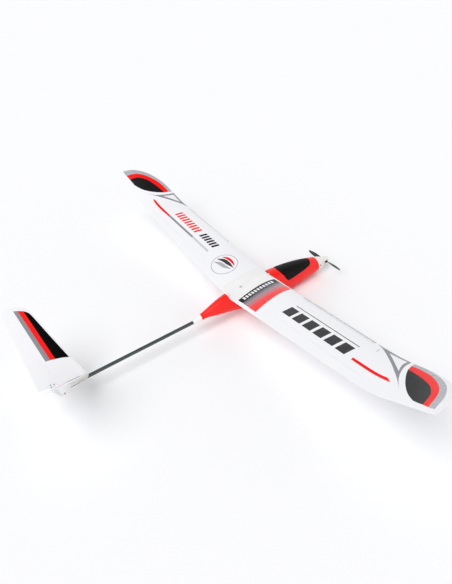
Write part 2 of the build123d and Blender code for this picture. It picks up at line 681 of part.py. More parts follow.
# ---- boom and tail ----------------------------------------------------------------------------------
def build_boom():
    save("tail_boom", ring((0, BOOM_FRONT, BOOM_Z), (0, BOOM_REAR, BOOM_Z), BOOM_R, BOOM_BORE))
    rear = POD_STATIONS[-1]
    start_z = (rear[2] + rear[3]) / 2
    mid = 0.55
    socket = loft([
        nose_circle(305.0, rear[1] + 0.01, start_z),
        nose_circle(305.0 + mid * (SOCKET_REAR - 305.0), 9.8, start_z + (BOOM_Z - start_z) * 0.75),
        nose_circle(SOCKET_REAR, BOOM_R + 1.6, BOOM_Z),
    ])
    socket -= rod((0, 300, BOOM_Z), (0, 345, BOOM_Z), BOOM_R)
    save("boom_socket", socket)


def tail_hinge():
    le, te = tail_edges(RUDDER_IN)
    a_n = tail_half(RUDDER_IN, (RUDDER_HINGE_IN - le) / (te - le)) - 0.2
    le, te = tail_edges(RUDDER_OUT)
    b_n = tail_half(RUDDER_OUT, (RUDDER_HINGE_OUT - le) / (te - le)) - 0.2
    a, b = Vector(RUDDER_IN, RUDDER_HINGE_IN, a_n), Vector(RUDDER_OUT, RUDDER_HINGE_OUT, b_n)
    along = (b - a).normalized()
    back = (Vector(0, 1, 0) - along * along.Y).normalized()
    return a, along, back, (b - a).length


ROD_START = (12.0, 757.0, 57.5)
ROD_BEND_Y = 806.0


def build_tail():
    inner = loft([tail_section(s) for s in (TAIL_STATIONS[0][0], TAIL_TIP_FROM)], ruled=True)
    outer = loft([tail_section(s) for s in closing_in(TAIL_TIP_FROM, TAIL_STATIONS[-1][0], 12)])
    panel = (inner + outer) & block(0.04, 400, 600, 1000, -100, 500)
    origin, along, back, length = tail_hinge()
    loses, keeps = hinge_cutters(origin, along, back, length, 12, 110)
    tip_loses, tip_keeps = hinge_cutters(origin + along * (length - 1), along, back, 40, 12, 110)
    root_loses, _ = hinge_cutters(origin - along * 30, along, back, 30, 12, 110)
    corner = plate(Plane.XY, RUDDER_CORNER, 60)
    horn = tail_horn()
    rudder = (panel & (TAIL_FRAME * (keeps + tip_keeps - corner))) - TAIL_FRAME * horn
    fixed = panel - TAIL_FRAME * (loses + tip_loses + root_loses)
    screws = None
    for s, y in SCREWS:
        screw = Pos(s, y, 0) * Cylinder(0.9, 9.0) + Pos(s, y, 3.4) * Cylinder(1.7, 0.9)
        screws = screw if screws is None else screws + screw
    horn_core = horn - screws
    both("tail_panel", fixed)
    both("ruddervator", rudder - TAIL_FRAME * screws)
    both("tail_horn", TAIL_FRAME * horn_core)
    both("horn_screws", TAIL_FRAME * Compound(children=screws.solids()))
    build_mount(fixed)
    build_tail_link()


SCREWS = [(15.7, 846), (18.6, 857), (10.8, 857)]
HORN_FOOT_N = -3.6


def tail_horn():
    s = TAIL_LINK_S
    foot = block(s - 6.5, s + 6.5, 842.6, 861, HORN_FOOT_N - 1.2, HORN_FOOT_N + 1.4)
    y, n = TAIL_PIN_Y, TAIL_PIN_N
    outline = [(844, HORN_FOOT_N), (859, HORN_FOOT_N), (857, HORN_FOOT_N - 4), (y + 4.5, n - 0.5),
               (y + 2.4, n - 2.4), (y - 1.4, n - 2.4), (y - 2.2, n + 1.0)]
    horn = foot + plate(Plane.YZ.offset(s), outline, HORN_T)
    for step in (0, 3.6, 7.2):
        horn -= Pos(s, y + 0.3 * step, n + step) * Rot(0, 90, 0) * Cylinder(0.8, 10)
    return horn


def build_mount(panel):
    """Sleeve on the boom's end with a V seat under the two tail panels and two pushrod guides."""
    sleeve = rod((0, 734, BOOM_Z), (0, 742, BOOM_Z), 7.6, 9.2) + rod((0, 742, BOOM_Z), (0, 774, BOOM_Z), 9.2)
    low, high = BOOM_Z - 9.4, BOOM_Z + 9.4
    slant = [(700, high), (734, high), (760, low), (700, low)]  # its front end leans back
    sleeve -= plate(Plane.YZ, slant, 40)
    saddle = TAIL_FRAME * block(0, 24, 741, 808, -7.5, -0.5)
    saddle &= block(0, 60, 700, 900, 0, 200)
    web = block(0, 5, 742, 800, BOOM_Z + 4, TAIL_Z)
    half = saddle + web
    mount = sleeve + half + mirrored(half)
    back = rod_travel()
    start = Vector(*ROD_START)
    guide = rod(start + back * -4, start + back * 17, 2.6)
    guide_hole = rod(start + back * -30, start + back * 30, 1.4)
    arm = block(0, 12, 754, 772, BOOM_Z + 0.2, BOOM_Z + 3.6)
    side = arm + guide
    mount += side + mirrored(side)
    mount -= guide_hole
    mount -= mirrored(guide_hole)
    mount -= rod((0, 700, BOOM_Z), (0, BOOM_REAR, BOOM_Z), BOOM_R)
    mount -= rod((0, 700, BOOM_Z), (0, 790, BOOM_Z), BOOM_BORE)
    mount = mount - panel - mirrored(panel)
    save("tail_mount", max(mount.solids(), key=lambda piece: piece.volume))


def rod_travel():
    """The pushrods' direction of travel on the left, in the aircraft's axes."""
    b = tail_hinge()[2]
    return tail_place(b.X, b.Y, b.Z) - tail_place(0, 0, 0)


def build_tail_link():
    travel = rod_travel()
    side = tail_place(1, 0, 0) - tail_place(0, 0, 0)
    side = (side - travel * side.dot(travel)).normalized()
    start = Vector(*ROD_START)
    bend = start + travel * (ROD_BEND_Y - start.Y)
    pin = tail_place(TAIL_LINK_S, TAIL_PIN_Y, TAIL_PIN_N)
    fork_tail = pin - travel * 13.0
    frame = Plane(origin=pin, x_dir=side, z_dir=travel)
    fork = Pos(0, 0, -3.0) * Box(4.6, 4.6, 12)
    fork -= Pos(0, 0, 3.4) * Box(HORN_T + 2 * GAP + 0.2, 8, 16)
    fork -= Rot(0, 90, 0) * Cylinder(0.9, 10)
    clevis_body = frame.location * fork
    clevis_body += rod(fork_tail, pin - travel * 8, 2.0, 2.2)
    clevis_body += rod(bend, fork_tail, 1.9, 2.0) + Pos(*fork_tail) * Sphere(2.0) + Pos(*bend) * Sphere(1.9)
    wire = rod(start, bend, 1.0) - clevis_body
    both("tail_clevis", clevis_body)
    both("tail_rod", wire)


# ---- run ------------------------------------------------------------------------------------------
build_wing()
build_pod()
build_cowl()
build_motor()
build_spinner()
build_blades()
build_inside()
build_boom()
build_tail()
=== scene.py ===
import json
from math import ceil, cos, hypot, pi, radians, sin

import bpy
import numpy as np
from mathutils import Euler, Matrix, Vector
from mathutils.bvhtree import BVHTree
from mathutils.geometry import delaunay_2d_cdt


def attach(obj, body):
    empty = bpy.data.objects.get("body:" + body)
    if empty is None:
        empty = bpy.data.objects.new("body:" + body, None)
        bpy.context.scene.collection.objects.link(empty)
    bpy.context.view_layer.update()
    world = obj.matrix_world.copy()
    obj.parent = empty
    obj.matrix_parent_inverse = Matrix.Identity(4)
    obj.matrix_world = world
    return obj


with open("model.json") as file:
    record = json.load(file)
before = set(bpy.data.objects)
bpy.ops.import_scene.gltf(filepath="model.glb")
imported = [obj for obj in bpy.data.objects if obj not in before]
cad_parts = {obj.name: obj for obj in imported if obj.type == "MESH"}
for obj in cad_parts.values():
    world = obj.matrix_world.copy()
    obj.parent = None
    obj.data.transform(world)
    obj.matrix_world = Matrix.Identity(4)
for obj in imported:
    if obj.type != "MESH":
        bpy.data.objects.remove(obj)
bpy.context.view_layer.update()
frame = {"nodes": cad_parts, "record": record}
nodes = frame["nodes"]
MM = 0.001

# ---- camera, lights and floor -------------------------------------------------------------------
CAMERA_AT = (-1.38699, 0.88248, 1.29476)  # metres
CAMERA_AZIMUTH, CAMERA_ELEVATION, CAMERA_ROLL = 243.41, 37.28, -9.69  # degrees
LENS, SENSOR = 33.54, 36.0  # mm
FLOOR_HALF = 60.0  # metres
ROOM_TINT = (0.97, 0.98, 1.0, 1)
ROOM_TURN = (0.42, 0.68)  # upward share of the direction where the room starts and stops darkening
ROOM_LOW, ROOM_HIGH = 1.2, 0.28  # the room's brightness near the floor and overhead
KEY = {"azimuth": 198, "elevation": 62, "spread": 50, "strength": 1.7}


def make_camera():
    data = bpy.data.cameras.new("camera")
    data.lens = LENS
    data.sensor_width = SENSOR
    data.clip_end = 100.0
    camera = bpy.data.objects.new("camera", data)
    bpy.context.scene.collection.objects.link(camera)
    turn = Euler((radians(90 - CAMERA_ELEVATION), 0, radians(CAMERA_AZIMUTH))).to_matrix()
    camera.rotation_euler = (turn @ Euler((0, 0, radians(CAMERA_ROLL))).to_matrix()).to_euler()
    camera.location = CAMERA_AT
    bpy.context.scene.camera = camera


def far_light(name, azimuth, elevation, spread, strength):
    """A wide soft light from one azimuth and elevation, equally strong over the whole floor."""
    data = bpy.data.lights.new(name, "SUN")
    data.angle = radians(spread)
    data.energy = strength
    lamp = bpy.data.objects.new(name, data)
    bpy.context.scene.collection.objects.link(lamp)
    a, e = radians(azimuth), radians(elevation)
    away = Vector((sin(a) * cos(e), -cos(a) * cos(e), sin(e)))
    lamp.rotation_euler = (-away).to_track_quat("-Z", "Y").to_euler()


def make_world():
    """A white room: bright low down, darker overhead, and plain white past the edge of the floor."""
    world = bpy.data.worlds.new("studio")
    bpy.context.scene.world = world
    world.use_nodes = True
    tree = world.node_tree
    tree.nodes.clear()
    room = tree.nodes.new("ShaderNodeBackground")
    room.inputs["Color"].default_value = ROOM_TINT
    direction = tree.nodes.new("ShaderNodeTexCoord")
    split = tree.nodes.new("ShaderNodeSeparateXYZ")
    tree.links.new(direction.outputs["Generated"], split.inputs[0])
    level = tree.nodes.new("ShaderNodeMapRange")
    tree.links.new(split.outputs["Z"], level.inputs[0])
    for socket, value in enumerate((*ROOM_TURN, ROOM_LOW, ROOM_HIGH), start=1):
        level.inputs[socket].default_value = value
    tree.links.new(level.outputs[0], room.inputs["Strength"])
    backdrop = tree.nodes.new("ShaderNodeBackground")
    backdrop.inputs["Color"].default_value = (1.0, 1.0, 1.0, 1)
    backdrop.inputs["Strength"].default_value = 1.0
    path = tree.nodes.new("ShaderNodeLightPath")
    mix = tree.nodes.new("ShaderNodeMixShader")
    out = tree.nodes.new("ShaderNodeOutputWorld")
    tree.links.new(path.outputs["Is Camera Ray"], mix.inputs[0])
    tree.links.new(room.outputs[0], mix.inputs[1])
    tree.links.new(backdrop.outputs[0], mix.inputs[2])
    tree.links.new(mix.outputs[0], out.inputs["Surface"])


# ---- materials ----------------------------------------------------------------------------------
def linear(red, green, blue):
    """A screen colour, 0 to 255, as the linear numbers a shader takes (the sRGB curve)."""
    def one(c):
        c = c / 255
        return c / 12.92 if c <= 0.04045 else ((c + 0.055) / 1.055) ** 2.4
    return (one(red), one(green), one(blue), 1.0)


def scaled(colour, k):
    """The colour k times as bright."""
    return tuple(min(1.0, c * k) for c in colour[:3]) + (1.0,)


class Finish:
    """One Principled material and the nodes that vary its colour, gloss and relief."""

    def __init__(self, name, **sockets):
        self.material = bpy.data.materials.new(name)
        self.material.use_nodes = True
        self.tree = self.material.node_tree
        self.shader = self.tree.nodes["Principled BSDF"]
        self.place = self.tree.nodes.new("ShaderNodeTexCoord").outputs["Object"]
        for socket, value in sockets.items():
            self.shader.inputs[socket.replace("_", " ")].default_value = value

    def add(self, kind, settings=(), inputs=()):
        """A node, with its settings made and its inputs linked or set."""
        node = self.tree.nodes.new("ShaderNode" + kind)
        for key, value in dict(settings).items():
            setattr(node, key, value)
        for key, value in dict(inputs).items():
            if isinstance(value, bpy.types.NodeSocket):
                self.tree.links.new(value, node.inputs[key])
            else:
                node.inputs[key].default_value = value
        return node

    def noise(self, scale, detail=3.0, stretch=(1, 1, 1)):
        spot = self.add("Mapping", (), {"Vector": self.place, "Scale": stretch}).outputs[0]
        return self.add("TexNoise", (), {"Vector": spot, "Scale": scale, "Detail": detail}).outputs[0]

    def cells(self, scale, feature="DISTANCE_TO_EDGE", out="Distance"):
        node = self.add("TexVoronoi", {"feature": feature}, {"Vector": self.place, "Scale": scale})
        return node.outputs[out]

    def bands(self, scale, axis, distortion=0.0):
        settings = {"wave_type": "BANDS", "bands_direction": axis}
        inputs = {"Vector": self.place, "Scale": scale, "Distortion": distortion}
        return self.add("TexWave", settings, inputs).outputs["Fac"]

    def span(self, value, low, high, to_low=0.0, to_high=1.0):
        """value from low to high, spread over to_low to to_high."""
        inputs = dict(enumerate((value, low, high, to_low, to_high)))
        return self.add("MapRange", (), inputs).outputs[0]

    def maths(self, operation, a, b):
        return self.add("Math", {"operation": operation}, {0: a, 1: b}).outputs[0]

    def mix(self, share, a, b):
        """Colour a where share is 0, and b where it is 1."""
        node = self.add("Mix", {"data_type": "RGBA"}, {"Factor": share})
        for socket, value in ((node.inputs[6], a), (node.inputs[7], b)):
            if isinstance(value, bpy.types.NodeSocket):
                self.tree.links.new(value, socket)
            else:
                socket.default_value = value
        return node.outputs[2]

    def colour(self, socket):
        self.tree.links.new(socket, self.shader.inputs["Base Color"])

    def gloss(self, value, rough_low, rough_high):
        spread = self.span(value, 0.3, 0.7, rough_low, rough_high)
        self.tree.links.new(spread, self.shader.inputs["Roughness"])

    def relief(self, height, depth, strength=1.0):
        bump = self.add("Bump", (), {"Height": height, "Distance": depth, "Strength": strength})
        self.tree.links.new(bump.outputs[0], self.shader.inputs["Normal"])
        return self


BEADS_PER_METRE = 330.0


def foam(name, colour, rough=0.42, seam_dark=0.965, coat=0.0, shine=0.3):
    """Moulded bead foam: a smooth skin in which the beads and their outlines just show."""
    f = Finish(name, Coat_Weight=coat, Coat_Roughness=0.22, Specular_IOR_Level=shine)
    edge = f.span(f.cells(BEADS_PER_METRE), 0.0, 0.09)
    cloud = f.noise(9.0, 4.0)
    skin = f.mix(f.span(cloud, 0.3, 0.7), scaled(colour, 0.975), colour)
    bead = f.span(f.cells(BEADS_PER_METRE, "F1", "Color"), 0.0, 1.0, 0.0, 0.5)
    skin = f.mix(bead, skin, f.mix(0.5, skin, scaled(colour, 0.97)))
    f.colour(f.mix(edge, scaled(colour, seam_dark), skin))
    f.gloss(f.noise(60.0), rough - 0.05, rough + 0.09)
    fine = f.span(f.noise(1400.0, 2.0), 0.3, 0.7, 0.0, 0.25)
    return f.relief(f.maths("ADD", edge, fine), 0.00005, 0.5).material


def plastic(name, colour, rough=0.32, grain=0.00003, coat=0.0):
    """Moulded plastic: a fine spark-eroded grain, and gloss that drifts a little."""
    f = Finish(name, Coat_Weight=coat, Coat_Roughness=0.15, Specular_IOR_Level=0.5)
    flow = f.noise(35.0, 4.0, (1, 0.35, 1))
    f.colour(f.mix(f.span(flow, 0.3, 0.7), scaled(colour, 0.94), colour))
    f.gloss(f.noise(90.0), rough - 0.04, rough + 0.08)
    return f.relief(f.noise(2600.0, 2.0), grain, 0.6).material


def film(name, colour, rough=0.26, shine=0.4):
    """Printed vinyl film: an even ink, a faint orange peel and a satin face."""
    f = Finish(name, Specular_IOR_Level=shine)
    ink = f.noise(220.0, 3.0)
    f.colour(f.mix(f.span(ink, 0.3, 0.7), scaled(colour, 0.94), colour))
    f.gloss(f.noise(30.0), rough - 0.03, rough + 0.06)
    return f.relief(f.noise(700.0, 1.0), 0.000012, 0.7).material


def fading_film(name, stops, start, width):
    """Vinyl film printed with a fade across the span; stops are (share of width, colour), ends first."""
    f = Finish(name, Specular_IOR_Level=0.5)
    across = f.add("SeparateXYZ", (), {0: f.place}).outputs[0]
    share = f.span(across, start * MM, (start + width) * MM)
    ramp = f.add("ValToRGB", (), {0: share})
    for k, (at, colour) in enumerate(stops):
        stop = ramp.color_ramp.elements[k] if k < 2 else ramp.color_ramp.elements.new(at)
        stop.position, stop.color = at, colour
    hatch = f.span(f.bands(165.0, "X"), 0.0, 1.0, 0.0, 0.10)
    f.colour(f.mix(hatch, ramp.outputs[0], linear(235, 225, 230)))
    f.gloss(f.noise(30.0), 0.23, 0.32)
    return f.relief(f.noise(700.0, 1.0), 0.000012, 0.7).material


def carbon(name):
    """Pultruded carbon tube: fine fibres along Y under a clear resin skin."""
    f = Finish(name, Coat_Weight=0.6, Coat_Roughness=0.12, Specular_IOR_Level=0.6)
    fibre = f.noise(900.0, 4.0, (1, 0.02, 1))
    f.colour(f.mix(f.span(fibre, 0.35, 0.65), linear(30, 42, 42), linear(54, 69, 69)))
    f.gloss(f.noise(50.0), 0.28, 0.38)
    return f.relief(fibre, 0.00004, 0.5).material


def metal(name, colour, rough, stretch=(1, 1, 1)):
    """Drawn or turned metal, with its tool marks along one direction."""
    f = Finish(name, Metallic=1.0)
    mark = f.noise(700.0, 4.0, stretch)
    f.colour(f.mix(f.span(mark, 0.3, 0.7), scaled(colour, 0.8), colour))
    f.gloss(mark, rough - 0.06, rough + 0.1)
    return f.relief(mark, 0.00002, 0.6).material


def plywood(name):
    """Birch plywood: long grain over wavy rings."""
    f = Finish(name, Specular_IOR_Level=0.3)
    grain = f.noise(260.0, 6.0, (1, 0.05, 1))
    rings = f.span(f.bands(60.0, "X", 6.0), 0.0, 1.0, 0.0, 0.4)
    wood = f.mix(f.span(grain, 0.3, 0.7), linear(196, 160, 112), linear(222, 190, 145))
    f.colour(f.mix(rings, wood, linear(176, 138, 92)))
    f.gloss(grain, 0.6, 0.75)
    return f.relief(grain, 0.0001, 0.6).material


def woven(name, colour):
    """Nylon webbing: warp and weft ribs a millimetre apart, coloured darker between the ribs as painted
    shade and lighter where they cross as painted highlight.
    """
    f = Finish(name, Sheen_Weight=0.4, Specular_IOR_Level=0.25)
    weave_and_shade = f.maths("MULTIPLY", f.bands(300.0, "X"), f.bands(300.0, "Y"))
    # painted shade and highlight: the colour is half as bright in the gaps between the ribs and 1.6 times
    # as bright where they cross
    f.colour(f.mix(weave_and_shade, scaled(colour, 0.5), scaled(colour, 1.6)))
    f.gloss(f.noise(120.0), 0.7, 0.85)
    return f.relief(weave_and_shade, 0.00025, 0.8).material


def circuit(name):
    """Heat-shrink sleeve over a circuit board: glossy, with the parts showing as soft bumps."""
    f = Finish(name, Coat_Weight=0.5, Coat_Roughness=0.1)
    lumps = f.span(f.cells(140.0, "F1"), 0.1, 0.6)
    f.colour(f.mix(lumps, linear(40, 42, 48), linear(18, 18, 20)))
    f.gloss(f.noise(60.0), 0.2, 0.35)
    return f.relief(lumps, 0.0004, 0.5).material


WHITE = linear(242, 242, 244)
RED = linear(248, 22, 14)

FINISHES = {
    "white_foam": foam("white_foam", WHITE),
    "red_foam": foam("red_foam", RED, 0.38, 0.93, 0.15),
    "black_foam": foam("black_foam", linear(12, 12, 13), 0.5, 0.86, shine=0.12),
    "white_plastic": plastic("white_plastic", linear(242, 241, 240), 0.34, coat=0.15),
    "cream_plastic": plastic("cream_plastic", linear(226, 222, 217), 0.4),
    "black_plastic": plastic("black_plastic", linear(38, 39, 40), 0.34),
    "carbon": carbon("carbon"),
    "servo_case": plastic("servo_case", linear(34, 40, 62), 0.28, coat=0.2),
    "steel": metal("steel", linear(205, 206, 208), 0.28, (1, 0.05, 1)),
    "aluminium": metal("aluminium", linear(192, 195, 200), 0.36, (1, 1, 0.1)),
    "cell_wrap": film("cell_wrap", linear(34, 70, 150), 0.2),
    "electronics": circuit("electronics"),
    "plywood": plywood("plywood"),
    "webbing": woven("webbing", linear(40, 40, 42)),
}
WARM = plastic("warm_white_plastic", linear(240, 234, 228), 0.34, coat=0.15)
DULL = metal("dull_steel", linear(120, 122, 126), 0.42, (1, 0.05, 1))
OWN_FINISHES = {
    "nose_cowl": WARM,
    "spinner": WARM,
    "horn_screws_left": DULL,
    "horn_screws_right": DULL,
    "wing_bolt": plastic("bolt_plastic", linear(200, 199, 196), 0.4),
}
FILM_RED = film("film_red", linear(246, 18, 12), 0.3, 0.25)
FILM_BLACK = film("film_black", linear(8, 8, 9), 0.3, 0.3)
TAIL_BLACK = film("tail_black", linear(3, 3, 3), 0.45, 0.06)
FILM_GREY = film("film_grey", linear(176, 178, 183))
FILM_MID = film("film_mid", linear(140, 141, 146))
FILM_DARK = film("film_dark", linear(58, 58, 60))
FILM_WHITE = film("film_white", linear(238, 238, 240))
FILM_PALE = film("film_pale", linear(206, 207, 211))
FILM_SOFT = film("film_soft", linear(229, 230, 233))


def dress_frame():
    """Every CAD node gets its slot's finish; a few get one of their own."""
    slots = {part["node"]: part["material_slot"] for part in frame["record"]["subparts"]}
    for name, piece in nodes.items():
        finish = OWN_FINISHES.get(name, FINISHES[slots[name]])
        for slot in piece.material_slots:
            slot.material = finish


# ---- films: thin decals that follow the surface under them --------------------------------------
# Plans are in millimetres: (distance to the left of the centreline, distance behind the origin).
FILM_LIFT = 0.22 * MM  # of the film's face above the foam
FILM_DEPTH = 0.32 * MM
OVERLAP = 0.1 * MM  # extra lift of a film on a film
STEP_ALONG, STEP_ACROSS = 6.0, 1.3  # spacing of a film's points along and across the span, mm
RIM_CLEAR = 0.45 * STEP_ACROSS  # least distance of an inner point from the outline, mm
SAME_POINT = 0.05  # points nearer than this are one, mm


def apart(a, b):
    return hypot(b[0] - a[0], b[1] - a[1])


def curve(*points):
    """A smooth run through the points, ends included, with a point every millimetre or so."""
    padded = [points[0], *points, points[-1]]
    run = []
    for a, b, c, d in zip(padded, padded[1:], padded[2:], padded[3:]):
        count = max(1, ceil(apart(b, c) / STEP_ACROSS))
        for k in range(count):
            t = k / count
            run.append(tuple(
                0.5 * (
                    2 * q + (r - p) * t
                    + (2 * p - 5 * q + 4 * r - s) * t * t
                    + (3 * q - p - 3 * r + s) * t ** 3
                )
                for p, q, r, s in zip(a, b, c, d)
            ))
    run.append(tuple(points[-1]))
    return run


def loop(*runs):
    """Runs joined end to end into one closed outline."""
    outline = []
    for run in runs:
        for point in run:
            if not outline or apart(point, outline[-1]) > SAME_POINT:
                outline.append(point)
    if apart(outline[0], outline[-1]) < SAME_POINT:
        outline.pop()
    return outline


def polygon(*corners):
    return loop(*[curve(a, b) for a, b in zip(corners, corners[1:] + corners[:1])])


def circle(centre, radius):
    count = int(2 * pi * radius / STEP_ACROSS)
    turns = [2 * pi * k / count for k in range(count)]
    return [(centre[0] + radius * cos(a), centre[1] + radius * sin(a)) for a in turns]


def within(spots, loops):
    """Which spots lie inside the outlines, by the even-odd rule."""
    spots = np.array(spots)
    inside = np.zeros(len(spots), bool)
    for outline in loops:
        a = np.array(outline)
        b = np.roll(a, -1, axis=0)
        for (ax, ay), (bx, by) in zip(a, b):
            if ay == by:
                continue
            crosses = (ay > spots[:, 1]) != (by > spots[:, 1])
            at = ax + (spots[:, 1] - ay) / (by - ay) * (bx - ax)
            inside ^= crosses & (spots[:, 0] < at)
    return inside


def tree_of(*names):
    """A search tree over the faces of some CAD nodes."""
    points, faces = [], []
    for name in names:
        start = len(points)
        points.extend(v.co.copy() for v in nodes[name].data.vertices)
        faces.extend([start + k for k in p.vertices] for p in nodes[name].data.polygons)
    return BVHTree.FromPolygons(points, faces)


ABOVE, TAIL_ABOVE = 0.5, 0.2  # metres from a host's plane up to where its rays start


class Host:
    """A surface that films are laid on: a plan in millimetres, and the way down onto it."""

    def __init__(self, tree, origin, along, across, down):
        self.tree, self.origin = tree, Vector(origin)
        self.along, self.across, self.down = Vector(along), Vector(across), Vector(down)

    def lay(self, u, v, lift):
        above = self.origin + self.along * (u * MM) + self.across * (v * MM)
        spot, normal = self.tree.ray_cast(above, self.down)[:2]
        return None if spot is None else spot + normal * lift


def lay_film(name, host, loops, material, lift=FILM_LIFT):
    """A decal with these outlines, triangulated in the plan and dropped onto its host."""
    flat, edges = [], []
    for outline in loops:
        start, count = len(flat), len(outline)
        flat.extend(outline)
        edges.extend((start + k, start + (k + 1) % count) for k in range(count))
    rim = np.array(flat)
    low, high = rim.min(0), rim.max(0)
    grid = [
        (u, v)
        for u in np.arange(low[0] + STEP_ALONG / 2, high[0], STEP_ALONG)
        for v in np.arange(low[1] + STEP_ACROSS / 2, high[1], STEP_ACROSS)
    ]
    if grid:
        kept = np.array(grid)[within(grid, loops)]
        for u, v in kept:
            if np.min(np.hypot(rim[:, 0] - u, rim[:, 1] - v)) > RIM_CLEAR:
                flat.append((u, v))
    made = delaunay_2d_cdt([Vector(p) for p in flat], edges, [], 0, 1e-4)
    spots, faces = made[0], made[2]
    centres = [tuple(sum((spots[k] for k in f), Vector((0, 0))) / len(f)) for f in faces]
    faces = [f for f, keep in zip(faces, within(centres, loops)) if keep]
    laid = [host.lay(*p, lift) for p in spots]
    faces = [f for f in faces if all(laid[k] is not None for k in f)]
    used = sorted({k for f in faces for k in f})
    place = {k: n for n, k in enumerate(used)}
    mesh = bpy.data.meshes.new(name)
    mesh.from_pydata([laid[k] for k in used], [], [[place[k] for k in f] for f in faces])
    upside = sum(p.normal.dot(host.down) * p.area for p in mesh.polygons)
    if upside > 0:
        mesh.flip_normals()
    mesh.polygons.foreach_set("use_smooth", [True] * len(mesh.polygons))
    mesh.materials.append(material)
    piece = bpy.data.objects.new(name, mesh)
    bpy.context.scene.collection.objects.link(piece)
    thick = piece.modifiers.new("thickness", "SOLIDIFY")
    thick.thickness, thick.offset = FILM_DEPTH, -1.0
    piece.modifiers.new("crisp_rim", "EDGE_SPLIT").split_angle = radians(40)
    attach(piece, "airframe")


# how far each wing's films sit outboard and back of the even layout, mm
TIP_SHIFT = {"left": (8.0, 2.5), "right": (-4.0, -1.0)}
MARK_SHIFT = {"left": (8.0, 0.5), "right": (-2.5, 0.0)}


def both_sides(outline, shift):
    """The outline on the left wing and mirrored on the right, each moved by its own shift."""
    (left_x, left_y), (right_x, right_y) = shift["left"], shift["right"]
    left = [(x + left_x, y + left_y) for x, y in outline]
    right = [(-x - right_x, y + right_y) for x, y in reversed(outline)]
    return {"left": left, "right": right}


def slanted_bars(first, last, top, bottom, count, share, lean):
    """A row of leaning bars between two spanwise places; share is how much of the row they fill."""
    pitch = (last - first) / count
    width = pitch * share
    bars = []
    for k in range(count):
        x = first + pitch * k
        corners = (x + lean, top), (x + lean + width, top), (x + width, bottom), (x, bottom)
        bars.append(polygon(*corners))
    return bars


def dress_tips(wing):
    """The tip badges: a black field, a red band and a grey band, each inside the next."""
    outer = curve(
        (707, 14), (731, 14.5), (757, 18), (783, 26), (808, 38),
        (832, 54), (850, 72), (865, 94), (876, 118), (884, 156),
    )
    middle = curve(
        (708, 29), (730, 29), (756, 33), (782, 41), (806, 55),
        (827, 71), (843, 90), (855, 114), (864, 152),
    )
    inner = curve((713, 48), (736, 52), (761, 58), (785, 67), (806, 78), (822, 92), (836, 112), (845, 147))
    root_side = curve((713, 48), (723, 66), (739, 87), (757, 106), (782, 126), (812, 142))
    black = loop(inner, curve((845, 147), (812, 142)), root_side[::-1])
    red = loop(middle, curve((864, 152), (845, 147)), inner[::-1], curve((713, 48), (708, 29)))
    grey = loop(outer, curve((884, 156), (864, 152)), middle[::-1], curve((708, 29), (707, 14)))
    badge = {
        "black": (black, FILM_BLACK, "black_foam"),
        "red": (red, FILM_RED, "red_foam"),
        "grey": (grey, FILM_GREY, None),
    }
    for colour, (outline, material, slot) in badge.items():
        for side, shape in both_sides(outline, TIP_SHIFT).items():
            lay_film(f"tip_film_{colour}_{side}", wing, [shape], material)


def dress_corners(wing):
    """A hollow three-cornered mark just inboard of each badge."""
    mark = loop(
        curve((570, 13.2), (612, 13.2), (650, 13.2), (693, 13.4)),
        curve((693, 13.4), (695, 40), (705, 68), (722, 94), (747, 118)),
        curve((747, 118), (712, 90), (683, 70), (655, 52), (606, 26), (570, 13.2)),
    )
    hollow = loop(
        curve((622, 22.5), (650, 20.5), (684, 19.5)),
        curve((684, 19.5), (686, 42), (697, 67)),
        curve((697, 67), (660, 44), (622, 22.5)),
    )
    holes = both_sides(hollow, MARK_SHIFT)
    for side, shape in both_sides(mark, MARK_SHIFT).items():
        lay_film(f"corner_mark_{side}", wing, [shape, holes[side]], FILM_MID)


def dress_left(wing):
    """Three-tone pin stripe and two rows of bars."""
    lay_film("pin_stripe_red", wing, [loop(
        curve((714, 114), (700, 107.5), (660, 107.5), (568, 107.5)),
        curve((568, 107.5), (566, 116)),
        curve((566, 116), (660, 118), (690, 117), (714, 114)),
    )], FILM_RED)
    dark = polygon((568, 107.5), (373, 106.5), (371, 115), (566, 116))
    pale = polygon((373, 106.5), (251, 106.5), (249, 115), (371, 115))
    lay_film("pin_stripe_dark", wing, [dark], FILM_MID)
    lay_film("pin_stripe_pale", wing, [pale], FILM_PALE)
    lay_film("bars_red", wing, slanted_bars(388, 566, 57, 90, 9, 0.55, -9), FILM_RED)
    lay_film("bars_dark", wing, slanted_bars(257, 366, 57, 87, 6, 0.6, -9), FILM_BLACK)


ROUNDEL_AT = (143.0, 103.5)
ROUNDEL_OUTER, ROUNDEL_INNER = 52.5, 50.7


def dress_roundel(wing):
    """A thin ring round three sweeps, given from the ring's centre."""
    ring = [circle(ROUNDEL_AT, ROUNDEL_OUTER), circle(ROUNDEL_AT, ROUNDEL_INNER)]
    lay_film("roundel_ring", wing, ring, FILM_MID)

    def sweep(*points):
        return curve(*[(ROUNDEL_AT[0] + x, ROUNDEL_AT[1] + y) for x, y in points])

    lay_film("roundel_red", wing, [loop(
        sweep((-38, -22), (-10, -34), (20, -32), (42, -14)),
        sweep((42, -14), (16, -22), (-8, -24), (-38, -22)),
    )], FILM_RED)
    lay_film("roundel_dark", wing, [loop(
        sweep((-42, -14), (-10, -20), (22, -16), (46, 6)),
        sweep((46, 6), (18, -2), (-10, -6), (-42, -14)),
    )], FILM_DARK)
    lay_film("roundel_grey", wing, [loop(
        sweep((-42, -4), (-8, 0), (20, 6), (40, 24)),
        sweep((40, 24), (14, 18), (-12, 14), (-42, -4)),
    )], FILM_GREY)


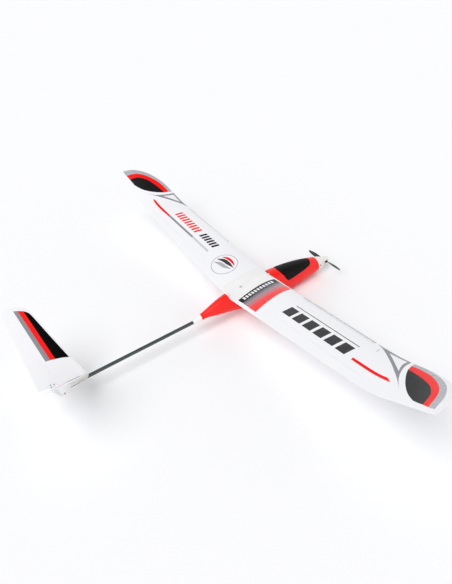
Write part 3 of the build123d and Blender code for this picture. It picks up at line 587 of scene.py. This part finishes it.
def dress_right(wing):
    """Heavy bars under a thin rule, a red sweep and a tick."""
    lay_film("bars_heavy", wing, slanted_bars(-534, -224, 77, 115, 6, 0.76, -7), FILM_DARK)
    rule = polygon((-250, 62.5), (-250, 65), (-545, 66), (-545, 63.5))
    lay_film("rule", wing, [rule], FILM_DARK)
    lay_film("sweep_red", wing, [loop(
        curve((-563, 106.5), (-620, 105.5), (-660, 105), (-692, 103)),
        curve((-692, 103), (-709, 112.5)),
        curve((-709, 112.5), (-664, 114.5), (-620, 115), (-564, 115.5)),
        curve((-564, 115.5), (-563, 106.5)),
    )], FILM_RED)
    lay_film("tick", wing, [polygon((-590, 31), (-591.5, 31), (-593, 45), (-591.5, 45))], FILM_MID)


FADE_FROM, FADE_WIDTH = -160.0, 78.0
FADE = [
    (0.0, linear(248, 20, 14)),
    (1.0, linear(84, 80, 84)),
    (0.40, linear(246, 34, 28)),
    (0.62, linear(196, 112, 118)),
    (0.78, linear(150, 134, 142)),
]
TICKS, TICK_FROM, TICK_PITCH = 11, 28, 12.2


def dress_root(wing):
    """The right wing's root panel: a black strip with white ticks, then a fade from grey to red."""
    lay_film("root_black", wing, [loop(
        curve((-51, 12), (-50, 90), (-55, 174)),
        curve((-55, 174), (-82, 172)),
        curve((-82, 172), (-79, 100), (-79, 12)),
        curve((-79, 12), (-51, 12)),
    )], FILM_BLACK)
    lay_film("root_fade", wing, [loop(
        curve((-79, 12), (-79, 100), (-82, 172)),
        curve((-82, 172), (-160, 171)),
        curve((-160, 171), (-153, 118), (-149, 66), (-149, 11)),
        curve((-149, 11), (-79, 12)),
    )], fading_film("film_fade", FADE, FADE_FROM, FADE_WIDTH))
    ticks = []
    for k in range(TICKS):
        y = TICK_FROM + k * TICK_PITCH
        ticks.append(polygon((-59, y + 1), (-59, y + 9), (-74, y + 8), (-74, y)))
    lay_film("root_ticks", wing, ticks, FILM_WHITE, lift=FILM_LIFT + OVERLAP)


def dress_edges(wing):
    """Soft stripes along both leading edges."""
    left = polygon((252, 8.3), (567, 13.4), (567, 18), (252, 13))
    right = polygon((-222, 7.5), (-222, 11.5), (-560, 16), (-560, 12))
    right_fade = polygon((-222, 11.8), (-222, 20), (-560, 25), (-560, 16.3))
    lay_film("edge_stripe_left", wing, [left], FILM_PALE)
    lay_film("edge_stripe_right", wing, [right], FILM_MID)
    lay_film("edge_fade_right", wing, [right_fade], FILM_SOFT)


def dress_wing():
    names = ("wing_left", "wing_right", "wing_centre")
    wing = Host(tree_of(*names), (0, 0, ABOVE), (1, 0, 0), (0, 1, 0), (0, 0, -1))
    dress_tips(wing)
    dress_corners(wing)
    dress_left(wing)
    dress_roundel(wing)
    dress_right(wing)
    dress_root(wing)
    dress_edges(wing)


TAIL_TILT = radians(41.7)
TAIL_FOOT = 69 * MM  # height of the plane that both panels' spanwise distances start from


def dress_tail():
    """Black, red and grey stripes on the upper face of each tail panel, ahead of the hinge."""
    black = loop(
        curve((74, 766), (111, 776), (161, 789), (213, 802), (250, 811.5), (266, 818), (277, 829)),
        curve((277, 829), (88, 807.5)),
        curve((88, 807.5), (82, 787), (74, 766)),
    )
    red = polygon((88, 807.5), (277, 829), (286, 845), (91.5, 823))
    grey = polygon((91.5, 823), (286, 845), (290, 857.5), (94, 838))
    for side, way in (("left", 1), ("right", -1)):
        along = Vector((way * cos(TAIL_TILT), 0, sin(TAIL_TILT)))
        down = Vector((way * sin(TAIL_TILT), 0, -cos(TAIL_TILT)))
        start = Vector((0, 0, TAIL_FOOT)) - down * TAIL_ABOVE
        host = Host(tree_of(f"tail_panel_{side}"), start, along, (0, 1, 0), down)
        lay_film(f"tail_film_black_{side}", host, [black], TAIL_BLACK)
        lay_film(f"tail_film_red_{side}", host, [red], FILM_RED)
        lay_film(f"tail_film_grey_{side}", host, [grey], FILM_MID)


# ---- small turned pieces ------------------------------------------------------------------------
TURN_STEPS = 40
CHEEK_SCREW = (-28.2, -224.2, 43.3)  # outer face of the screw in the cowl's right cheek
CHEEK_INWARD = (0.966, 0.16, -0.2)
CLEVIS_PIN = (28.5, 840.0, 59.6)  # of the left tail linkage
KEEPER_AHEAD = 12.7  # of a keeper from its clevis pin


def turned(name, body, profile, foot, axis, material):
    """A closed profile of (radius, height), mm, turned about an axis that starts at foot."""
    axis = Vector(axis).normalized()
    side = axis.orthogonal().normalized()
    other = axis.cross(side)
    count = len(profile)
    points = []
    for k in range(TURN_STEPS):
        a = 2 * pi * k / TURN_STEPS
        out = side * cos(a) + other * sin(a)
        points += [(Vector(foot) + out * r + axis * h) * MM for r, h in profile]
    faces = []
    for k in range(TURN_STEPS):
        here, there = k * count, (k + 1) % TURN_STEPS * count
        for j in range(count):
            n = (j + 1) % count
            faces.append((here + j, there + j, there + n, here + n))
    mesh = bpy.data.meshes.new(name)
    mesh.from_pydata(points, [], faces)
    mesh.polygons.foreach_set("use_smooth", [True] * len(mesh.polygons))
    mesh.materials.append(material)
    piece = bpy.data.objects.new(name, mesh)
    bpy.context.scene.collection.objects.link(piece)
    piece.modifiers.new("crisp_rim", "EDGE_SPLIT").split_angle = radians(50)
    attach(piece, body)


def joint_axis(name):
    for joint in frame["record"]["behaviour"]["joints"]:
        if joint["name"] == name:
            return Vector(joint["axis"])


def add_small_pieces():
    """The red screw in the cowl's cheek and the silicone keepers on the tail clevises."""
    dark_red = plastic("screw_lacquer", linear(120, 20, 22), 0.3)
    head = [(0.7, 0.9), (0.9, 0.1), (1.9, 0.15), (2.7, 0.6), (3.0, 1.3), (3.0, 2.2), (0.7, 2.2)]
    turned("cheek_screw", "airframe", head, CHEEK_SCREW, CHEEK_INWARD, dark_red)
    silicone = plastic("keeper_silicone", linear(226, 112, 112), 0.36, coat=0.3)
    ring = [
        (2.25, 0.2), (2.45, 0.0), (3.0, 0.1), (3.25, 0.5),
        (3.25, 2.7), (3.0, 3.1), (2.45, 3.2), (2.25, 3.0),
    ]
    for side, way in (("left", 1), ("right", -1)):
        travel = joint_axis(f"tail_link_{side}_slide")
        pin = Vector((way * CLEVIS_PIN[0], CLEVIS_PIN[1], CLEVIS_PIN[2]))
        foot = pin - travel * KEEPER_AHEAD
        turned(f"keeper_{side}", f"tail_link_{side}", ring, foot, travel, silicone)


# ---- floor, and the run ---------------------------------------------------------------------------
def make_floor():
    """Plain white paper."""
    mesh = bpy.data.meshes.new("floor")
    h = FLOOR_HALF
    mesh.from_pydata([(-h, -h, 0), (h, -h, 0), (h, h, 0), (-h, h, 0)], [], [(0, 1, 2, 3)])
    paper = Finish("paper", Specular_IOR_Level=0.1)
    fibre = paper.noise(40.0, 5.0)
    white = linear(250, 250, 251)
    paper.colour(paper.mix(paper.span(fibre, 0.3, 0.7), scaled(white, 0.995), white))
    paper.gloss(fibre, 0.85, 0.95)
    mesh.materials.append(paper.material)
    floor = bpy.data.objects.new("floor", mesh)
    bpy.context.scene.collection.objects.link(floor)


make_camera()
make_world()
make_floor()
far_light("key", **KEY)
bpy.context.scene.view_settings.view_transform = "Standard"
dress_frame()
dress_wing()
dress_tail()
add_small_pieces()
